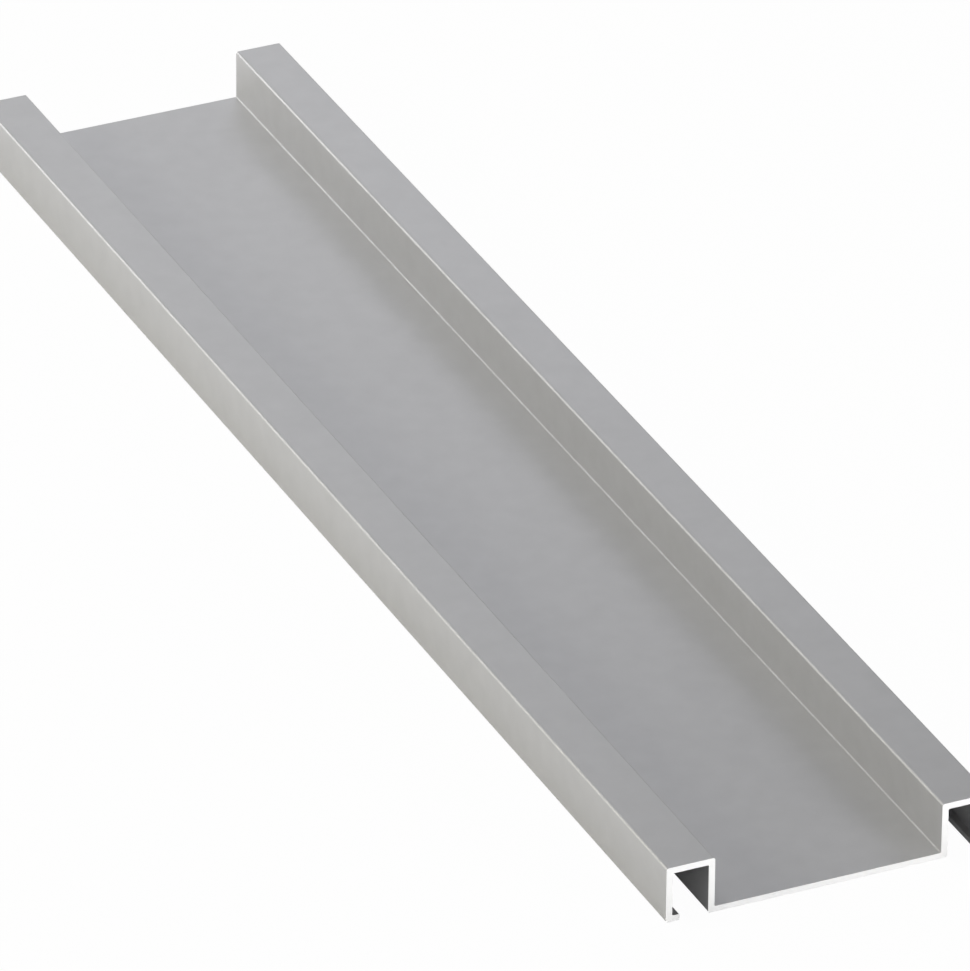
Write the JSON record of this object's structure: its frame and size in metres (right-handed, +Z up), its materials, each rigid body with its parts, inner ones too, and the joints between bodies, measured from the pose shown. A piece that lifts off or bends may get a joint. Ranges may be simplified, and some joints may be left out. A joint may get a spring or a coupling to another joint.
{
  "type": "aluminium tile trim",
  "caption": "Short length of extruded aluminium tile trim: a wide flat bay between two raised edge channels that are open underneath and have small inward lips.",
  "frame": {"origin": "middle of the length, on the centre line of the underside", "axes": "+X across the section, +Y along the extrusion, +Z up from the underside to the flange tops"},
  "size_m": [0.057, 0.28, 0.01],
  "materials": {
    "anodised_aluminium": "satin natural anodised, with bare sawn ends"
  },
  "bodies": {
    "root": {"trim_profile": "anodised_aluminium"}
  },
  "joints": []
}
